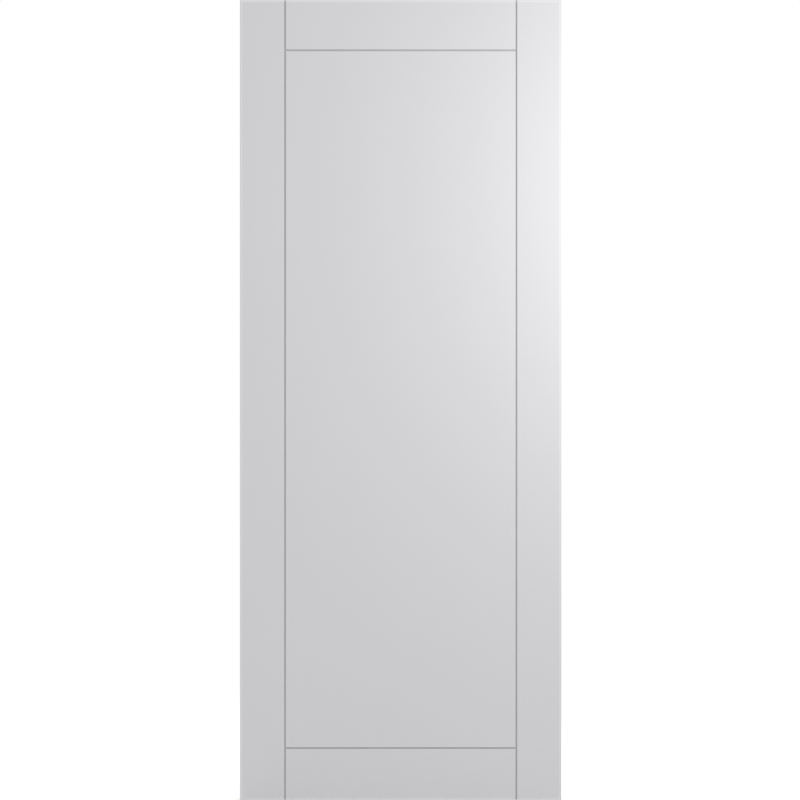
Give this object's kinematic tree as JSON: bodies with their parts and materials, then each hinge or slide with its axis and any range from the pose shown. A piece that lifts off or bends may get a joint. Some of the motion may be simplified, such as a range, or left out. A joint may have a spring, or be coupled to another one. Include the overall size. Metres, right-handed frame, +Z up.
{
  "type": "hollow core door leaf",
  "caption": "Flat interior door leaf with grooved skins on both faces, a softwood frame, lock blocks and a honeycomb core.",
  "frame": {"origin": "on the hinge edge, at the foot of the leaf and at mid-thickness", "axes": "+X across the leaf from its hinge edge to its lock edge, +Y through it from front to back, +Z up"},
  "size_m": [0.82, 0.035, 2.04],
  "materials": {
    "primed_fibreboard": "fibreboard with a smooth satin off-white primer on its face and raw brown edges",
    "frame_pine": "planed finger-jointed pine, bare",
    "block_pine": "sawn pine, bare",
    "core_paper": "brown kraft paper"
  },
  "bodies": {
    "root": {"front_skin": "primed_fibreboard", "back_skin": "primed_fibreboard", "hinge_stile": "frame_pine", "lock_stile": "frame_pine", "top_rail": "frame_pine", "bottom_rail": "frame_pine", "hinge_side_block": "block_pine", "lock_side_block": "block_pine", "lower_core": "core_paper", "middle_core": "core_paper", "upper_core": "core_paper"}
  },
  "joints": []
}
